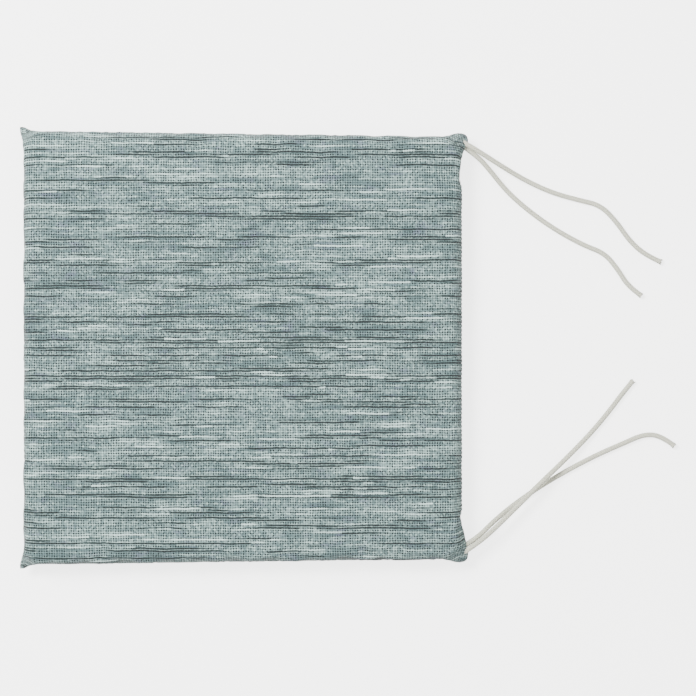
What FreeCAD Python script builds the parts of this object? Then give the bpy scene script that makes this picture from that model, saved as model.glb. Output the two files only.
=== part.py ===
import FreeCAD, Part
import math
import os
import re

import Sketcher

# A tie-on chair seat pad: a foam slab in a two-panel woven cover. The panels are joined by one seam at
# mid-height, a recessed zip closes the rear side, and two pairs of braided cords are sewn into the rear ears.
# Frame: millimetres, +X to the rear where the cords leave, +Z up, origin under the middle of the pad.

os.makedirs("parts", exist_ok=True)
doc = FreeCAD.newDocument("seat_pad")

SIZES = [
    ("pad_depth", 399.0, "front wall to rear wall"),
    ("front_width", 397.0, "side wall to side wall at the front"),
    ("rear_width", 386.0, "side wall to side wall at the rear"),
    ("pad_height", 30.0, "underside to top"),
    ("cloth", 1.0, "thickness of the cover cloth"),
    ("corner_radius", 12.0, "upright corners of the cover"),
    ("edge_radius", 6.0, "rounding where the walls meet the top and the underside"),
    ("front_ear_reach", 4.8, "how far a front ear stands past the two walls"),
    ("front_ear_tip", 3.5, "half the width of a front ear's tip"),
    ("front_ear_lift", 1.5, "half the thickness of a front ear's tip"),
    ("front_ear_root", 25.0, "length of a front ear inside the corner"),
    ("rear_ear_reach", 8.6, "how far a rear ear stands past the rear wall"),
    ("rear_ear_flare", 4.5, "how far a rear ear stands past the side wall"),
    ("rear_ear_tip", 22.5, "width of a rear ear's tip"),
    ("rear_ear_lift", 5.5, "half the thickness of a rear ear's tip"),
    ("rear_ear_root", 24.0, "length of a rear ear inside the corner"),
    ("rear_ear_root_width", 42.0, "width of a rear ear at its root"),
    ("ear_root_lift", 9.0, "half the thickness of an ear at its root"),
    ("ear_root_inset", 1.0, "how far an ear's root stays inside the walls"),
    ("foam_gap", 1.3, "room between the foam and the walls"),
    ("seam_thread", 0.8, "diameter of the seam thread"),
    ("zip_margin", 43.0, "from a side wall to the end of the opening that the zip closes"),
    ("slot_height", 9.0, "opening between the two hems"),
    ("hem_depth", 2.2, "thickness of a turned-in hem behind the wall"),
    ("tape_width", 8.8, "from the middle of the zip to a tape's outer edge"),
    ("tape_thickness", 0.6, "thickness of a zip tape"),
    ("tape_overlap", 10.0, "length of tape past each end of the opening"),
    ("coil_height", 1.8, "how far a coil stands off its tape"),
    ("coil_width", 1.7, "width of one coil"),
    ("coil_gap", 1.2, "space between the two coils"),
    ("coil_rounding", 0.5, "rounding of a coil's long edges"),
    ("coil_end_gap", 7.0, "from the end of the opening to the end of a coil"),
    ("stop_length", 3.5, "length of a zip stop"),
    ("slider_length", 10.0, "length of the slider along the zip"),
    ("slider_width", 7.4, "width of the slider across the zip"),
    ("slider_plate", 1.2, "thickness of the slider's outer plate"),
    ("slider_back", 1.0, "thickness of the slider's back plate"),
    ("slider_clearance", 0.25, "running clearance round the coils and tapes"),
    ("slider_corner", 1.5, "rounding of the slider's corners"),
    ("slider_stop_gap", 0.5, "space between the slider and a stop"),
    ("post_width", 0.7, "thickness of the post between the slider's plates"),
    ("post_length", 2.4, "length of the post along the zip"),
    ("post_inset", 1.0, "from the slider's leading end to the post"),
    ("bridge_length", 7.2, "length of the slider's bridge"),
    ("bridge_width", 1.4, "width of the bridge"),
    ("bridge_leg", 1.0, "thickness of the bridge's legs"),
    ("bridge_roof", 0.9, "thickness of the bridge's roof"),
    ("bridge_window", 1.8, "height of the window under the bridge"),
    ("pull_length", 20.0, "length of the pull tab from its hinge"),
    ("pull_width", 6.0, "width of the pull tab"),
    ("pull_thickness", 1.2, "thickness of the pull tab and of its hinge bar"),
    ("pull_window_length", 4.4, "from the hinge to the end of the pull's window"),
    ("pull_window_width", 3.0, "width of the pull's window"),
    ("pull_hole", 2.0, "diameter of the hole at the pull's free end"),
    ("pull_hole_inset", 3.0, "from the pull's free end to that hole"),
    ("groove_gap", 0.5, "room between the slider and the foam behind it"),
    ("stitch_pitch", 4.0, "distance between the stitches beside the zip"),
    ("stitch_length", 3.0, "length of a stitch"),
    ("stitch_thread", 0.5, "thickness of the stitching thread"),
    ("stitch_row", 6.5, "from the middle of the zip to a row of stitches"),
    ("cord_diameter", 4.8, "diameter of a tie cord"),
    ("cord_sewn_in", 8.0, "length of a tie cord sewn into its ear"),
    ("cord_hole_gap", 0.4, "room round a tie cord in its ear"),
    ("cord_hole_lead", 6.0, "length of the hole for a tie cord outside the ear's tip"),
]
ALIASES = {alias for alias, value, note in SIZES}

sheet = doc.addObject("Spreadsheet::Sheet", "sizes")
for row, (alias, value, note) in enumerate(SIZES, start=1):
    sheet.set(f"A{row}", note)
    sheet.set(f"B{row}", str(value))
    sheet.setAlias(f"B{row}", alias)
doc.recompute()

X_REAR = "(pad_depth + front_ear_reach - rear_ear_reach) / 2"
X_FRONT = "(front_ear_reach - pad_depth - rear_ear_reach) / 2"
SIDE_SLOPE = "((front_width - rear_width) / 2 / pad_depth)"
SIDE_SECANT = f"sqrt(1 + {SIDE_SLOPE} ^ 2)"
SEAM = "pad_height / 2"
HALF_OPENING = "(rear_width / 2 - zip_margin)"
HALF_TAPE = f"({HALF_OPENING} + tape_overlap)"
HALF_COIL = f"({HALF_OPENING} - coil_end_gap)"
TAPE_FACE = f"({X_REAR} - cloth - hem_depth)"
COIL_FACE = f"({TAPE_FACE} + coil_height)"
PLATE_LOW = f"({COIL_FACE} + slider_clearance)"
PLATE_HIGH = f"({PLATE_LOW} + slider_plate)"
BACK_HIGH = f"({TAPE_FACE} - tape_thickness - slider_clearance)"
BACK_LOW = f"({BACK_HIGH} - slider_back)"
SLIDER_Y = f"({HALF_COIL} - slider_stop_gap - slider_length / 2)"
HINGE_X = f"({PLATE_HIGH} + bridge_window / 2)"
SKIN = 0.1  # how far features that are one solid run into each other
PAST = 1.0  # how far a cutting shape reaches past what it cuts


def size(alias):
    """The value of one named size."""
    return float(sheet.get(alias))


def bind(thing, prop, formula):
    """Bind a property to a formula of named sizes."""
    text = re.sub(
        r"\b[a-z_]+\b",
        lambda word: "sizes." + word.group() if word.group() in ALIASES else word.group(),
        formula,
    )
    thing.setExpression(prop, text)


def edge_names(shape, wanted):
    """The names of the edges that pass the test."""
    return [f"Edge{i}" for i, edge in enumerate(shape.Edges, start=1) if wanted(edge)]


def runs_along(edge, axis):
    """True for a straight edge along one axis."""
    ends = [v.Point for v in edge.Vertexes]
    if len(ends) != 2 or not isinstance(edge.Curve, Part.Line):
        return False
    way = ends[1] - ends[0]
    return way.Length > 0 and abs(abs(way.dot(axis)) - way.Length) < 1e-6


def block(owner, kind, label, low, high):
    """A box between two corners, each given as three formulas."""
    new = owner.newObject(kind, label) if owner else doc.addObject(kind, label)
    for prop, place, bottom, top in zip(("Length", "Width", "Height"), "xyz", low, high):
        bind(new, prop, f"({top}) - ({bottom})")
        bind(new, "Placement.Base." + place, bottom)
    return new


def round_edges(body, base, names, radius):
    """A fillet on named edges of a body's feature."""
    fillet = body.newObject("PartDesign::Fillet", body.Name + "_rounding")
    fillet.Base = (base, names)
    bind(fillet, "Radius", radius)
    doc.recompute()
    return fillet


# The pad's outline: a four-sided sketch, a little narrower at the rear, padded up and rounded.


def outline_sketch(body, inset, low):
    """The four walls' lines, set in square from the outside of the cover."""
    sketch = body.newObject("Sketcher::SketchObject", body.Name + "_outline")
    plane = next(f for f in body.Origin.OriginFeatures if f.Role == "XY_Plane")
    sketch.AttachmentSupport = [(plane, "")]
    sketch.MapMode = "FlatFace"
    bind(sketch, "AttachmentOffset.Base.z", low)
    x, wide, narrow = size("pad_depth") / 2, size("front_width") / 2, size("rear_width") / 2
    corners = [(-x, -wide), (-x, wide), (x, narrow), (x, -narrow)]
    points = [FreeCAD.Vector(a, b, 0) for a, b in corners]
    for i in range(4):
        sketch.addGeometry(Part.LineSegment(points[i], points[(i + 1) % 4]), False)
    for i in range(4):
        sketch.addConstraint(Sketcher.Constraint("Coincident", i, 2, (i + 1) % 4, 1))
    for wall in (0, 2):
        sketch.addConstraint(Sketcher.Constraint("Symmetric", wall, 1, wall, 2, -1))
    front = f"front_width - 2 * {inset} * ({SIDE_SECANT} + {SIDE_SLOPE})"
    rear = f"rear_width - 2 * {inset} * ({SIDE_SECANT} - {SIDE_SLOPE})"
    driven = [
        ("front_x", Sketcher.Constraint("DistanceX", 0, 1, -1, 1, x), f"{inset} * -1 - {X_FRONT}"),
        ("rear_x", Sketcher.Constraint("DistanceX", -1, 1, 2, 1, x), f"{X_REAR} - {inset}"),
        ("front", Sketcher.Constraint("DistanceY", 0, 1, 0, 2, 2 * wide), front),
        ("rear", Sketcher.Constraint("DistanceY", 2, 2, 2, 1, 2 * narrow), rear),
    ]
    for name, constraint, formula in driven:
        sketch.renameConstraint(sketch.addConstraint(constraint), name)
        bind(sketch, "Constraints." + name, formula)
    return sketch


def rounded_slab(label, inset, low, high, rims):
    """A body of the pad's outline, set in by a formula, with rounded corners and rims."""
    body = doc.addObject("PartDesign::Body", label)
    sketch = outline_sketch(body, inset, low)
    pad = body.newObject("PartDesign::Pad", label + "_slab")
    pad.Profile = sketch
    bind(pad, "Length", f"({high}) - ({low})")
    doc.recompute()
    upright = FreeCAD.Vector(0, 0, 1)
    corners = edge_names(pad.Shape, lambda e: runs_along(e, upright))
    last = round_edges(body, pad, corners, f"corner_radius - {inset}")
    box = last.Shape.BoundBox
    heights = {"upper": [box.ZMax], "lower": [box.ZMin], "both": [box.ZMin, box.ZMax]}[rims]

    def on_rim(edge):
        return any(all(abs(v.Z - z) < 1e-6 for v in edge.Vertexes) for z in heights)

    round_edges(body, last, edge_names(last.Shape, on_rim), f"edge_radius - {inset}")
    return body


# The ears: where the flat corners of the two panels stick out past the foam, as a tapering wedge.


def wedge(body, label, at, turn, across, across_tip, along, lift, tip_lift, up):
    """A tapering ear half: local X runs across it, local Y out to its tip, local Z up."""
    ear = body.newObject("PartDesign::AdditiveWedge", label)
    heights = (("0", lift), ("0", tip_lift)) if up else ((f"-{lift}", "0"), (f"-{tip_lift}", "0"))
    formulas = {
        "Xmin": across[0],
        "Xmax": across[1],
        "X2min": across_tip[0],
        "X2max": across_tip[1],
        "Ymin": "0",
        "Ymax": along,
        "Zmin": heights[0][0],
        "Zmax": heights[0][1],
        "Z2min": heights[1][0],
        "Z2max": heights[1][1],
    }
    for prop, formula in formulas.items():
        bind(ear, prop, formula)
    ear.Placement.Rotation = FreeCAD.Rotation(FreeCAD.Vector(0, 0, 1), turn)
    for place, formula in zip("xyz", at):
        bind(ear, "Placement.Base." + place, formula)


def add_ears(body, up):
    """The four ear halves of one panel."""
    diagonal = 1 / math.sqrt(2)
    half = "(front_ear_root - ear_root_inset)"
    for side, name in ((1, "right"), (-1, "left")):
        wedge(
            body,
            f"{body.Name}_front_{name}_ear",
            (
                f"{X_FRONT} + front_ear_root * {diagonal}",
                f"{side} * (front_width / 2 - front_ear_root * {diagonal})",
                SEAM,
            ),
            45 if side > 0 else 135,
            (f"-{half}", half),
            ("-front_ear_tip", "front_ear_tip"),
            f"front_ear_root + front_ear_reach / {diagonal} - front_ear_tip",
            "ear_root_lift",
            "front_ear_lift",
            up,
        )
        root = ("ear_root_inset / 2", "rear_ear_root_width")
        tip = ("-rear_ear_flare", "rear_ear_tip - rear_ear_flare")
        if side < 0:
            root = ("-rear_ear_root_width", "-ear_root_inset / 2")
            tip = ("rear_ear_flare - rear_ear_tip", "rear_ear_flare")
        wedge(
            body,
            f"{body.Name}_rear_{name}_ear",
            (f"{X_REAR} - rear_ear_root", f"{side} * rear_width / 2", SEAM),
            -90,
            root,
            tip,
            "rear_ear_root + rear_ear_reach",
            "ear_root_lift",
            "rear_ear_lift",
            up,
        )


# The tie cords. Each route starts at the end sewn into the ear, leaves straight, comes down and lies on the
# surface that the pad lies on. The first two points are measured from the rear corner of the walls and the
# seam, the rest from the rear corner of the walls and the surface: out to the rear, across to the middle, up.

ROUTES = {
    "tie_right_outer": {
        "side": 1,
        "sewn": [(1.7, 3.1, 2.5), (18.0, 12.5, 1.6)],
        "lying": [
            (36.3, 23.7, 11.0),
            (59.9, 37.4, 4.5),
            (86.0, 49.4, 2.45),
            (111.0, 56.3, 2.45),
            (131.4, 61.0, 2.45),
            (146.2, 76.3, 2.45),
            (158.2, 93.9, 2.45),
            (173.1, 107.3, 2.45),
            (187.9, 113.8, 2.45),
        ],
    },
    "tie_right_inner": {
        "side": 1,
        "sewn": [(1.6, 6.1, -1.8), (16.6, 16.0, -2.5)],
        "lying": [
            (29.0, 29.5, 8.0),
            (45.1, 49.0, 3.4),
            (66.5, 67.5, 2.45),
            (90.6, 84.4, 2.45),
            (115.6, 98.0, 2.45),
            (135.1, 105.4, 2.45),
            (147.1, 119.8, 2.45),
            (157.3, 136.5, 2.45),
            (169.4, 144.8, 2.45),
        ],
    },
    "tie_left_outer": {
        "side": -1,
        "sewn": [(1.6, 3.3, 1.8), (18.4, 14.1, 1.3)],
        "lying": [
            (34.2, 28.1, 14.6),
            (51.7, 45.2, 13.0),
            (75.7, 69.0, 12.9),
            (100.4, 91.8, 7.2),
            (123.0, 114.4, 2.6),
            (139.7, 134.4, 2.45),
            (151.8, 150.8, 2.45),
            (161.9, 162.9, 2.45),
        ],
    },
    "tie_left_inner": {
        "side": -1,
        "sewn": [(1.4, 8.7, -1.3), (17.0, 18.0, -2.0)],
        "lying": [
            (31.8, 32.5, 8.2),
            (50.7, 47.6, 3.0),
            (73.0, 63.1, 2.45),
            (99.9, 79.2, 2.45),
            (127.7, 93.7, 2.45),
            (153.6, 105.0, 2.45),
            (172.1, 113.1, 2.45),
            (187.9, 111.5, 2.45),
            (199.9, 102.2, 2.45),
        ],
    },
}
ARC_SHARE = 0.45  # share of the shorter run at each bend that its arc takes
VOLUME_TOLERANCE = 0.01


def rear_wall():
    """Where the rear wall stands."""
    return (size("pad_depth") + size("front_ear_reach") - size("rear_ear_reach")) / 2


def half_opening():
    """Half the length of the zip's opening."""
    return size("rear_width") / 2 - size("zip_margin")


def route_points(route):
    """A cord's route in the pad's frame."""
    seam, half = size("pad_height") / 2, size("rear_width") / 2
    placed = [(out, across, up + seam) for out, across, up in route["sewn"]] + route["lying"]
    side, wall = route["side"], rear_wall()
    return [FreeCAD.Vector(wall + out, side * (half - across), up) for out, across, up in placed]


def rounded_path(points, radius=None):
    """Straight runs joined by tangent arcs, and the smallest arc's radius."""
    edges = []
    radii = []
    start = points[0]
    for before, here, after in zip(points, points[1:], points[2:]):
        back, on = (before - here), (after - here)
        shorter = min(back.Length, on.Length)
        back.normalize()
        on.normalize()
        half_turn = (math.pi - back.getAngle(on)) / 2
        cut = radius * math.tan(half_turn) if radius else ARC_SHARE * shorter
        arc_radius = cut / math.tan(half_turn)
        radii.append(arc_radius)
        first, last = here + back * cut, here + on * cut
        inward = back + on
        inward.normalize()
        middle = here + inward * (arc_radius / math.cos(half_turn) - arc_radius)
        edges.append(Part.LineSegment(start, first).toShape())
        edges.append(Part.Arc(first, middle, last).toShape())
        start = last
    edges.append(Part.LineSegment(start, points[-1]).toShape())
    return Part.Wire(edges), min(radii)


def tube(points, diameter, radius=None):
    """A round tube along a rounded path, checked against its section times its length."""
    path, tightest = rounded_path(points, radius)
    way = points[1] - points[0]
    section = Part.Wire([Part.Circle(points[0], way, diameter / 2).toShape()])
    shape = path.makePipeShell([section], True, False)
    expected = math.pi * diameter**2 / 4 * path.Length
    if abs(shape.Volume / expected - 1) > VOLUME_TOLERANCE:
        raise RuntimeError(f"a tube's volume is {shape.Volume:.0f}, not {expected:.0f}")
    return shape, path.Length, tightest


def cord_hole(label, route):
    """The hole that a cord's sewn-in end fills, from its end out past the ear's tip."""
    start, after = route_points(route)[:2]
    hole = doc.addObject("Part::Cylinder", label + "_hole")
    bind(hole, "Radius", "cord_diameter / 2 + cord_hole_gap")
    bind(hole, "Height", "cord_sewn_in + cord_hole_lead")
    turn = FreeCAD.Rotation(FreeCAD.Vector(0, 0, 1), after - start)
    hole.Placement = FreeCAD.Placement(start, turn)
    return hole


# The cover: each panel is an outer slab with ears, hollowed to the cloth's thickness, with a turned-in hem
# along the zip. The two panels meet at the seam.

cavity = rounded_slab("cover_cavity", "cloth", "cloth", "pad_height - cloth", "both")
cord_holes = [cord_hole(label, route) for label, route in ROUTES.items()]
slot = block(
    None,
    "Part::Box",
    "zip_slot",
    (f"{TAPE_FACE} - {PAST}", f"-{HALF_OPENING}", f"{SEAM} - slot_height / 2"),
    (f"{X_REAR} + {PAST}", HALF_OPENING, f"{SEAM} + slot_height / 2"),
)
openings = doc.addObject("Part::MultiFuse", "cover_openings")
openings.Shapes = [slot] + cord_holes


def cover_panel(label, up):
    """The upper or the lower panel of the cover."""
    low, high = (SEAM, "pad_height") if up else ("0", SEAM)
    blank = rounded_slab(label + "_blank", "0", low, high, "upper" if up else "lower")
    add_ears(blank, up)
    shell = doc.addObject("Part::Cut", label + "_shell")
    shell.Base = blank
    shell.Tool = cavity
    hem_low, hem_high = (SEAM, f"{SEAM} + tape_width") if up else (f"{SEAM} - tape_width", SEAM)
    hem = block(
        None,
        "Part::Box",
        label + "_hem",
        (TAPE_FACE, f"-{HALF_TAPE}", hem_low),
        (f"{X_REAR} - cloth / 2", HALF_TAPE, hem_high),
    )
    hemmed = doc.addObject("Part::MultiFuse", label + "_hemmed")
    hemmed.Shapes = [shell, hem]
    panel = doc.addObject("Part::Cut", label)
    panel.Base = hemmed
    panel.Tool = openings
    return panel


panels = [cover_panel("cover_top_panel", True), cover_panel("cover_bottom_panel", False)]


# The foam slab, clear of the walls for the seam, with a groove behind the zip.


def foam_core():
    """The foam slab with the groove that the zip lies in."""
    blank = rounded_slab("foam_slab", "(cloth + foam_gap)", "cloth", "pad_height - cloth", "both")
    groove = block(
        None,
        "Part::Box",
        "foam_groove",
        (f"{BACK_LOW} - groove_gap", f"-{HALF_TAPE} - {PAST}", f"{SEAM} - tape_width - {PAST}"),
        (X_REAR, f"{HALF_TAPE} + {PAST}", f"{SEAM} + tape_width + {PAST}"),
    )
    foam = doc.addObject("Part::Cut", "foam_core")
    foam.Base = blank
    foam.Tool = groove
    return foam


def seam_thread():
    """The thread of the seam, inside the walls from one end of the zip round to the other."""
    inset = size("cloth") + size("foam_gap") / 2
    rear, height = rear_wall() - inset, size("pad_height") / 2
    front = rear_wall() - size("pad_depth") + inset
    start = half_opening() + size("tape_overlap") + 2 * size("seam_thread")
    wide, narrow = size("front_width") / 2 - inset, size("rear_width") / 2 - inset
    corners = [(rear, start), (rear, narrow), (front, wide), (front, -wide), (rear, -narrow), (rear, -start)]
    points = [FreeCAD.Vector(x, y, height) for x, y in corners]
    thread = doc.addObject("Part::Feature", "seam_thread")
    thread.Shape = tube(points, size("seam_thread"), size("corner_radius") - inset)[0]
    return thread


# The zip: two tapes behind the hems, a coil on each, stops at the ends, and a slider with its pull tab.


def zip_tape(label, side):
    """One tape, behind the hem of its panel."""
    near, far = f"{SEAM} + {side} * coil_gap / 2", f"{SEAM} + {side} * tape_width"
    low, high = (near, far) if side > 0 else (far, near)
    return block(
        None,
        "Part::Box",
        label,
        (f"{TAPE_FACE} - tape_thickness", f"-{HALF_TAPE}", low),
        (TAPE_FACE, HALF_TAPE, high),
    )


def zip_coil(label, side):
    """One coil, on the outer face of its tape."""
    body = doc.addObject("PartDesign::Body", label)
    near, far = f"{SEAM} + {side} * coil_gap / 2", f"{SEAM} + {side} * (coil_gap / 2 + coil_width)"
    low, high = (near, far) if side > 0 else (far, near)
    strip = block(
        body,
        "PartDesign::AdditiveBox",
        label + "_strip",
        (TAPE_FACE, f"-{HALF_COIL}", low),
        (COIL_FACE, HALF_COIL, high),
    )
    doc.recompute()
    along = FreeCAD.Vector(0, 1, 0)
    face = strip.Shape.BoundBox.XMax

    def outer(edge):
        return runs_along(edge, along) and abs(edge.Vertexes[0].X - face) < 1e-6

    round_edges(body, strip, edge_names(strip.Shape, outer), "coil_rounding")
    return body


def zip_stop(label, end, low, high):
    """A stop clamped on the tapes at one end of the coils."""
    far = f"{end} * ({HALF_COIL} + stop_length)"
    near = f"{end} * {HALF_COIL}"
    y_low, y_high = (near, far) if end > 0 else (far, near)
    return block(None, "Part::Box", label, (TAPE_FACE, y_low, low), (COIL_FACE, y_high, high))


def zip_stops():
    """Two top stops at the closed end, one for each coil, and one bottom stop across both."""
    reach = "(coil_gap / 2 + coil_width)"
    upper = zip_stop("stop_upper", 1, f"{SEAM} + coil_gap / 2", f"{SEAM} + {reach}")
    lower = zip_stop("stop_lower", 1, f"{SEAM} - {reach}", f"{SEAM} - coil_gap / 2")
    pair = doc.addObject("Part::Compound", "zip_top_stops")
    pair.Links = [upper, lower]
    bottom = zip_stop("zip_bottom_stop", -1, f"{SEAM} - {reach}", f"{SEAM} + {reach}")
    return [pair, bottom]


def zip_slider():
    """The slider: two plates joined by a post, with flanges outside the coils and a bridge."""
    body = doc.addObject("PartDesign::Body", "zip_slider")
    y_low, y_high = f"{SLIDER_Y} - slider_length / 2", f"{SLIDER_Y} + slider_length / 2"
    z_low, z_high = f"{SEAM} - slider_width / 2", f"{SEAM} + slider_width / 2"
    add, cut = "PartDesign::AdditiveBox", "PartDesign::SubtractiveBox"
    block(body, add, "back_plate", (BACK_LOW, y_low, z_low), (BACK_HIGH, y_high, z_high))
    block(
        body,
        add,
        "post",
        (f"{BACK_HIGH} - {SKIN}", f"{y_high} - post_inset - post_length", f"{SEAM} - post_width / 2"),
        (f"{PLATE_LOW} + {SKIN}", f"{y_high} - post_inset", f"{SEAM} + post_width / 2"),
    )
    plate = block(body, add, "outer_plate", (PLATE_LOW, y_low, z_low), (PLATE_HIGH, y_high, z_high))
    doc.recompute()
    across = FreeCAD.Vector(1, 0, 0)
    edge_y = plate.Shape.BoundBox.YMax

    def corner(edge):
        middle = (plate.Shape.BoundBox.YMax + plate.Shape.BoundBox.YMin) / 2
        outermost = abs(abs(edge.Vertexes[0].Y - middle) - (edge_y - middle)) < 1e-6
        return runs_along(edge, across) and outermost

    round_edges(body, plate, edge_names(plate.Shape, corner), "slider_corner")
    near = "(coil_gap / 2 + coil_width + slider_clearance)"
    flange_low = (f"{TAPE_FACE} + slider_clearance", f"{y_low} + slider_corner")
    flange_high = (f"{PLATE_LOW} + {SKIN}", f"{y_high} - slider_corner")
    block(body, add, "upper_flange", (*flange_low, f"{SEAM} + {near}"), (*flange_high, z_high))
    block(body, add, "lower_flange", (*flange_low, z_low), (*flange_high, f"{SEAM} - {near}"))
    block(
        body,
        add,
        "bridge",
        (f"{PLATE_HIGH} - {SKIN}", f"{SLIDER_Y} - bridge_length / 2", f"{SEAM} - bridge_width / 2"),
        (
            f"{PLATE_HIGH} + bridge_window + bridge_roof",
            f"{SLIDER_Y} + bridge_length / 2",
            f"{SEAM} + bridge_width / 2",
        ),
    )
    window = block(
        body,
        cut,
        "bridge_opening",
        (PLATE_HIGH, f"{SLIDER_Y} - bridge_length / 2 + bridge_leg", f"{SEAM} - bridge_width"),
        (
            f"{PLATE_HIGH} + bridge_window",
            f"{SLIDER_Y} + bridge_length / 2 - bridge_leg",
            f"{SEAM} + bridge_width",
        ),
    )
    doc.recompute()
    up = FreeCAD.Vector(0, 0, 1)
    roof = window.Shape.BoundBox.XMax

    def shoulder(edge):
        return runs_along(edge, up) and abs(edge.Vertexes[0].X - roof) < 1e-6

    round_edges(body, window, edge_names(window.Shape, shoulder), f"bridge_roof - {SKIN}")
    return body


def zip_pull():
    """The pull tab: a window round the bridge, a bar through it, and a hole at the free end."""
    body = doc.addObject("PartDesign::Body", "zip_pull")
    x_low, x_high = f"{HINGE_X} - pull_thickness / 2", f"{HINGE_X} + pull_thickness / 2"
    z_low, z_high = f"{SEAM} - pull_width / 2", f"{SEAM} + pull_width / 2"
    tab = block(
        body,
        "PartDesign::AdditiveBox",
        "tab",
        (x_low, f"{SLIDER_Y} - pull_length", z_low),
        (x_high, SLIDER_Y, z_high),
    )
    doc.recompute()
    end = tab.Shape.BoundBox.YMin
    across = FreeCAD.Vector(1, 0, 0)

    def free_end(edge):
        return runs_along(edge, across) and abs(edge.Vertexes[0].Y - end) < 1e-6

    round_edges(body, tab, edge_names(tab.Shape, free_end), f"pull_width / 2 - {SKIN}")
    block(
        body,
        "PartDesign::SubtractiveBox",
        "pull_window",
        (f"{x_low} - {PAST}", f"{SLIDER_Y} - pull_window_length", f"{SEAM} - pull_window_width / 2"),
        (f"{x_high} + {PAST}", f"{SLIDER_Y} + {PAST}", f"{SEAM} + pull_window_width / 2"),
    )
    bar = body.newObject("PartDesign::AdditiveCylinder", "hinge_bar")
    bind(bar, "Radius", "pull_thickness / 2")
    bind(bar, "Height", "pull_width")
    hole = body.newObject("PartDesign::SubtractiveCylinder", "pull_eye")
    bind(hole, "Radius", "pull_hole / 2")
    bind(hole, "Height", "2 * pull_thickness")
    hole.Placement.Rotation = FreeCAD.Rotation(FreeCAD.Vector(0, 1, 0), 90)
    places = [
        (bar, (HINGE_X, SLIDER_Y, z_low)),
        (hole, (f"{HINGE_X} - pull_thickness", f"{SLIDER_Y} - pull_length + pull_hole_inset", SEAM)),
    ]
    for feature, at in places:
        for place, formula in zip("xyz", at):
            bind(feature, "Placement.Base." + place, formula)
    return body


def zip_stitching():
    """Two rows of stitches that hold the hems and tapes to the walls."""
    pitch, length, thread = size("stitch_pitch"), size("stitch_length"), size("stitch_thread")
    span = 2 * half_opening() + size("tape_overlap")
    count = int(span // pitch)
    first = -(count * pitch - (pitch - length)) / 2
    stitches = []
    for side in (1, -1):
        low = size("pad_height") / 2 + side * size("stitch_row") - thread / 2
        for i in range(count):
            corner = FreeCAD.Vector(rear_wall(), first + i * pitch, low)
            stitches.append(Part.makeBox(thread, length, thread, corner))
    rows = doc.addObject("Part::Feature", "zip_stitching")
    rows.Shape = Part.makeCompound(stitches)
    return rows


def tie_cord(label, route):
    """One tie cord, from its sewn-in end to its cut end."""
    points = route_points(route)
    shape, length, tightest = tube(points, size("cord_diameter"))
    lowest = shape.optimalBoundingBox().ZMin
    print(f"{label}: {length:.1f} long, tightest radius {tightest:.1f}, lowest {lowest:.3f}")
    cord = doc.addObject("Part::Feature", label)
    cord.Shape = shape
    return cord


pieces = panels + [foam_core(), seam_thread()]
pieces += [zip_tape("zip_tape_upper", 1), zip_tape("zip_tape_lower", -1)]
pieces += [zip_coil("zip_coil_upper", 1), zip_coil("zip_coil_lower", -1)]
pieces += zip_stops()
pieces += [zip_slider(), zip_pull(), zip_stitching()]
pieces += [tie_cord(label, route) for label, route in ROUTES.items()]

doc.recompute()
for thing in doc.Objects:
    if "Invalid" in thing.State or "Error" in thing.State:
        raise RuntimeError(f"{thing.Label} failed: {thing.State}")
for piece in pieces:
    if piece.Shape.isNull() or not piece.Shape.isValid() or not piece.Shape.Solids:
        raise RuntimeError(f"{piece.Label} has no valid shape")
for piece in pieces:
    piece.Shape.exportStep(f"parts/{piece.Label}.step")
    box = piece.Shape.optimalBoundingBox()
    print(
        f"{piece.Label}: {len(piece.Shape.Solids)} solids, {piece.Shape.Volume:.1f} mm3, "
        f"x {box.XMin:.2f} {box.XMax:.2f}, y {box.YMin:.2f} {box.YMax:.2f}, z {box.ZMin:.2f} {box.ZMax:.2f}"
    )
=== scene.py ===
import math

import bmesh
import bpy
import numpy as np
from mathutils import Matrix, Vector
from mathutils.bvhtree import BVHTree


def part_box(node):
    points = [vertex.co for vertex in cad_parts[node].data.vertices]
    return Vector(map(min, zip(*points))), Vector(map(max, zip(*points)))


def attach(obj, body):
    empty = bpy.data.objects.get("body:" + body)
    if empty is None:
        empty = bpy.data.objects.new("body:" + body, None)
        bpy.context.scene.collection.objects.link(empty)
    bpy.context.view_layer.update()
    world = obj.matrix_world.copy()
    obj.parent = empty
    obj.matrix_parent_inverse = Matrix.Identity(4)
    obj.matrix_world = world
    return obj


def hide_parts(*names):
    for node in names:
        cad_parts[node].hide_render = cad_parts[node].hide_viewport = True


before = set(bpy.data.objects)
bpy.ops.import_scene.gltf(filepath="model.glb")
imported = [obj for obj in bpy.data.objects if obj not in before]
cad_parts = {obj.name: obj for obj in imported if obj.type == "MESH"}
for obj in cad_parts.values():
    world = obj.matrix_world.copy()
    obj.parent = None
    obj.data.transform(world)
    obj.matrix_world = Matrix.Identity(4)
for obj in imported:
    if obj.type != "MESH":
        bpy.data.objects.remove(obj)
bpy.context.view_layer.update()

# The view: the pad lies on a pale floor and is seen from straight above, as it is laid out for sale. The light is
# a wide soft lamp up beyond the front right corner, a weak one beyond the rear left, and a pale room all round.

VIEW_HEIGHT = 2.0
VIEW_CENTRE = (0.0955, -0.0002)
FLOOR_IN_VIEW = 0.6448
SENSOR = 36.0

camera = bpy.data.objects.new("camera", bpy.data.cameras.new("camera"))
camera.data.sensor_width = SENSOR
camera.data.lens = SENSOR * VIEW_HEIGHT / FLOOR_IN_VIEW
camera.data.clip_end = 20.0
camera.location = (*VIEW_CENTRE, VIEW_HEIGHT)
bpy.context.scene.collection.objects.link(camera)
bpy.context.scene.camera = camera


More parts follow.
